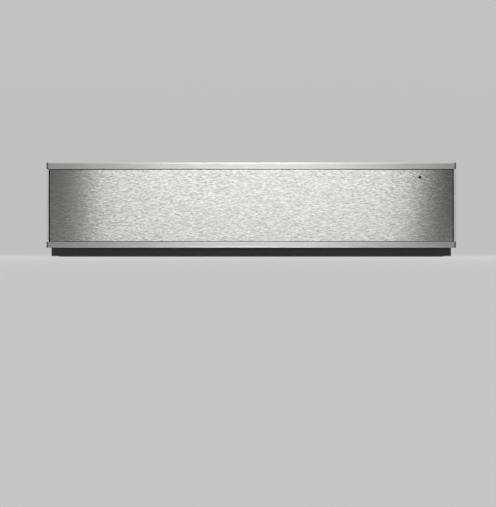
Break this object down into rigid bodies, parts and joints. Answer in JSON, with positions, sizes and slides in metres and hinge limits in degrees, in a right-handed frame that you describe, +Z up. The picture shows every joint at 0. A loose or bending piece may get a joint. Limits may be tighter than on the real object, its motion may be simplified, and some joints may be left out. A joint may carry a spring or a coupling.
{
  "type": "warming drawer",
  "caption": "Built-in warming drawer: framed brushed steel front with a finger gap below, steel housing, full-extension slides, tub with heated glass floor, hot-air fan and sunken dial.",
  "frame": {"origin": "middle of the footprint, on the shelf that the housing stands on", "axes": "+X to the right seen from the front, +Y to the back, +Z up; the drawer opens towards -Y"},
  "size_m": [0.59, 0.54, 0.1357],
  "materials": {
    "brushed_front_steel": "stainless sheet with a long horizontal brush",
    "rail_aluminium": "satin anodised extrusion",
    "black_rubber": "matt",
    "grey_plastic": "fine moulded grain",
    "red_lens": "clear red, polished",
    "painted_frame": "dark powder coat",
    "silicone": "matt silicone",
    "zinc_coated_steel": "zinc coated sheet",
    "stainless_sheet": "satin stainless sheet",
    "slide_steel": "bright zinc plate",
    "bright_steel": "bright zinc plate",
    "heater_tube": "dark oxide",
    "iron_stack": "varnished laminations",
    "coil_winding": "enamelled copper",
    "fan_aluminium": "pressed sheet",
    "black_plastic": "fine moulded grain",
    "pale_plastic": "moulded",
    "relay_plastic": "moulded",
    "circuit_board": "solder mask",
    "mineral_felt": "needled mineral fibre",
    "heating_mat": "silicone mat with a printed heater",
    "dark_glass": "toughened, dark printed underside",
    "knob_plastic": "satin moulded"
  },
  "bodies": {
    "housing": {"base_pan": "zinc_coated_steel", "right_side_wall": "zinc_coated_steel", "left_side_wall": "zinc_coated_steel", "rear_wall": "zinc_coated_steel", "top_cover": "zinc_coated_steel", "cover_screws": "bright_steel", "front_frame": "painted_frame", "frame_seal": "silicone", "right_outer_rail": "slide_steel", "left_outer_rail": "slide_steel", "outer_rail_rivets": "bright_steel", "partition": "zinc_coated_steel", "fan_cover": "stainless_sheet", "ring_heater": "heater_tube", "motor_front_bracket": "zinc_coated_steel", "motor_rear_bracket": "zinc_coated_steel", "motor_stack": "iron_stack", "motor_coil": "coil_winding", "motor_studs": "bright_steel", "thermal_limiter": "bright_steel", "board_tray": "black_plastic", "power_board": "circuit_board", "power_relays": "relay_plastic", "board_transformer": "iron_stack", "terminal_block": "pale_plastic", "cable_gland": "black_plastic", "magnet_catch": "black_plastic"},
    "drawer": {"front_panel": "brushed_front_steel", "top_rail": "rail_aluminium", "bottom_rail": "rail_aluminium", "rail_end_caps": "grey_plastic", "edge_strips": "rail_aluminium", "panel_gasket": "black_rubber", "front_carrier": "zinc_coated_steel", "front_insulation": "mineral_felt", "indicator_lens": "red_lens", "front_screws": "bright_steel", "drawer_pan": "zinc_coated_steel", "drawer_tub": "stainless_sheet", "glass_floor": "dark_glass", "floor_gasket": "silicone", "floor_heater": "heating_mat", "floor_insulation": "mineral_felt", "floor_sensor": "bright_steel", "right_inner_rail": "slide_steel", "left_inner_rail": "slide_steel", "inner_rail_rivets": "bright_steel", "strike_plate": "bright_steel", "control_tray": "black_plastic", "control_board": "circuit_board", "lamp_board": "circuit_board"},
    "middle_rails": {"right_middle_rail": "slide_steel", "left_middle_rail": "slide_steel"},
    "outer_ball_cages": {"outer_cages": "slide_steel"},
    "inner_ball_cages": {"inner_cages": "slide_steel"},
    "selector": {"selector_knob": "knob_plastic"},
    "fan": {"fan_wheel": "fan_aluminium", "fan_shaft": "bright_steel", "fan_nut": "bright_steel", "motor_rotor": "iron_stack"}
  },
  "joints": [
    {"name": "drawer_slide", "type": "slide", "parent": "housing", "child": "drawer", "axis": [0, -1, 0], "range_m": [0, 0.44]},
    {"name": "middle_rail_slide", "type": "slide", "parent": "housing", "child": "middle_rails", "axis": [0, -1, 0], "range_m": [0, 0.22]},
    {"name": "outer_cage_slide", "type": "slide", "parent": "housing", "child": "outer_ball_cages", "axis": [0, -1, 0], "range_m": [0, 0.11]},
    {"name": "inner_cage_slide", "type": "slide", "parent": "housing", "child": "inner_ball_cages", "axis": [0, -1, 0], "range_m": [0, 0.33]},
    {"name": "dial_turn", "type": "hinge", "parent": "drawer", "child": "selector", "pos_m": [0.232, -0.2305, 0.118], "axis": [0, 0, -1], "range_deg": [0, 180]},
    {"name": "fan_turn", "type": "hinge", "parent": "housing", "child": "fan", "pos_m": [0, 0.22, 0.068], "axis": [0, -1, 0], "continuous": true}
  ],
  "couplings": [
    {"joint": "middle_rail_slide", "follows": "drawer_slide", "ratio": 0.5},
    {"joint": "outer_cage_slide", "follows": "drawer_slide", "ratio": 0.25},
    {"joint": "inner_cage_slide", "follows": "drawer_slide", "ratio": 0.75}
  ]
}
